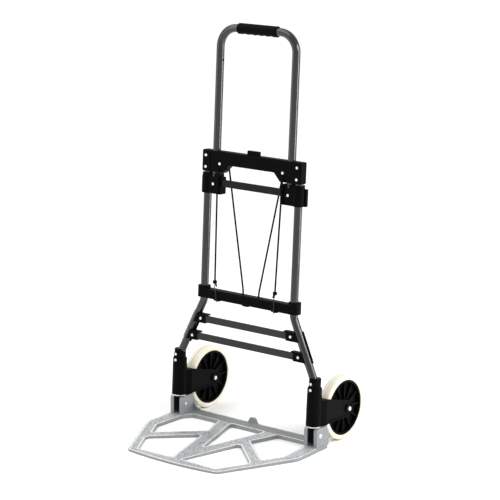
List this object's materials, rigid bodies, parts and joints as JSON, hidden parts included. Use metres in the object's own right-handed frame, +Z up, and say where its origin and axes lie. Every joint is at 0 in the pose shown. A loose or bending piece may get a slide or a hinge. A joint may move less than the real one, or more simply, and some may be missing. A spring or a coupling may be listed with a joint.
{
  "type": "folding hand truck",
  "caption": "Folding hand truck: leaning tube frame with a telescopic handle, elastic load cords, fold-up cast toe plate and wheels that swing in flat.",
  "frame": {"origin": "on the floor, midway between the sides and midway from the toe plate's front edge to the back of the tyres", "axes": "+Z up, +X across to the right as seen by someone facing the load side, -Y is the load side; the tubular frame leans back towards +Y by 3.3 degrees"},
  "size_m": [0.604, 0.6136, 1.2697],
  "materials": {
    "tube_enamel": "metallic grey enamel, satin gloss",
    "bar_enamel": "dark grey enamel, satin",
    "black_nylon": "moulded, fine grain",
    "hub_plastic": "moulded",
    "bush_nylon": "turned",
    "tyre_rubber": "cream non-marking rubber",
    "grip_rubber": "soft grip",
    "cord_braid": "braided elastic cord",
    "hook_wire": "black coated wire",
    "bright_steel": "zinc plated",
    "cast_aluminium": "die cast, pebbled silver paint"
  },
  "bodies": {
    "frame": {"frame_tube_left": "tube_enamel", "frame_tube_right": "tube_enamel", "upper_crosspiece_front": "black_nylon", "upper_crosspiece_back": "black_nylon", "crosspiece_rivets": "bright_steel", "crosspiece_inner_rivets": "bright_steel", "lower_crosspiece": "black_nylon", "lower_crosspiece_screws": "bright_steel", "crossbar_upper": "bar_enamel", "crossbar_lower": "bar_enamel", "bar_bracket_left": "black_nylon", "bar_bracket_right": "black_nylon", "crossbar_rivets": "bright_steel", "leg_socket_left": "black_nylon", "leg_socket_right": "black_nylon", "leg_socket_rivets": "bright_steel", "leg_post_left": "black_nylon", "leg_post_right": "black_nylon", "support_ring_left": "bright_steel", "support_ring_right": "bright_steel", "elastic_cord_left": "cord_braid", "elastic_cord_right": "cord_braid", "cord_knot_left": "cord_braid", "cord_knot_right": "cord_braid", "cord_stop_left": "cord_braid", "cord_stop_right": "cord_braid", "cord_hook_left": "hook_wire", "cord_hook_right": "hook_wire", "button_spring": "bright_steel"},
    "handle": {"handle_tube": "tube_enamel", "handle_grip": "grip_rubber", "slider_collar_left": "black_nylon", "slider_collar_right": "black_nylon", "slider_bar": "bar_enamel", "slider_rivets": "bright_steel"},
    "release_button": {"release_button": "black_nylon"},
    "lock_pin_left": {"lock_pin_left": "bright_steel"},
    "lock_pin_right": {"lock_pin_right": "bright_steel"},
    "toe_plate": {"toe_plate": "cast_aluminium", "hinge_pin_left": "bright_steel", "hinge_pin_right": "bright_steel"},
    "wheel_arm_left": {"wheel_fork_left": "black_nylon", "axle_left": "bright_steel", "axle_nut_left": "bright_steel"},
    "wheel_left": {"wheel_hub_left": "hub_plastic", "wheel_bush_left": "bush_nylon", "tyre_left": "tyre_rubber"},
    "wheel_arm_right": {"wheel_fork_right": "black_nylon", "axle_right": "bright_steel", "axle_nut_right": "bright_steel"},
    "wheel_right": {"wheel_hub_right": "hub_plastic", "wheel_bush_right": "bush_nylon", "tyre_right": "tyre_rubber"}
  },
  "joints": [
    {"name": "handle_slide", "type": "slide", "parent": "frame", "child": "handle", "axis": [0, 0.0576, 0.9983], "range_m": [-0.292, 0]},
    {"name": "button_press", "type": "slide", "parent": "frame", "child": "release_button", "axis": [0, -0.0576, -0.9983], "range_m": [0, 0.006], "stiffness_N_per_m": 900, "springref_m": -0.003, "deforming": ["button_spring"]},
    {"name": "lock_pin_left_slide", "type": "slide", "parent": "frame", "child": "lock_pin_left", "axis": [1, 0, 0], "range_m": [0, 0.006]},
    {"name": "lock_pin_right_slide", "type": "slide", "parent": "frame", "child": "lock_pin_right", "axis": [-1, 0, 0], "range_m": [0, 0.006]},
    {"name": "toe_plate_fold", "type": "hinge", "parent": "frame", "child": "toe_plate", "pos_m": [0, 0.066, 0.047], "axis": [1, 0, 0], "range_deg": [-93.3, 0]},
    {"name": "wheel_arm_left_swing", "type": "hinge", "parent": "frame", "child": "wheel_arm_left", "pos_m": [-0.2645, 0.06393, 0.10982], "axis": [0, 0.0576, 0.9983], "range_deg": [-90, 0]},
    {"name": "wheel_arm_right_swing", "type": "hinge", "parent": "frame", "child": "wheel_arm_right", "pos_m": [0.2645, 0.06393, 0.10982], "axis": [0, 0.0576, 0.9983], "range_deg": [0, 90]},
    {"name": "wheel_left_spin", "type": "hinge", "parent": "wheel_arm_left", "child": "wheel_left", "pos_m": [-0.2645, 0.20519, 0.1016], "axis": [1, 0, 0], "continuous": true},
    {"name": "wheel_right_spin", "type": "hinge", "parent": "wheel_arm_right", "child": "wheel_right", "pos_m": [0.2645, 0.20519, 0.1016], "axis": [1, 0, 0], "continuous": true}
  ],
  "couplings": [
    {"joint": "lock_pin_left_slide", "follows": "button_press", "ratio": 1},
    {"joint": "lock_pin_right_slide", "follows": "button_press", "ratio": 1},
    {"joint": "wheel_arm_left_swing", "follows": "toe_plate_fold", "ratio": 0.9646},
    {"joint": "wheel_arm_right_swing", "follows": "toe_plate_fold", "ratio": -0.9646}
  ]
}
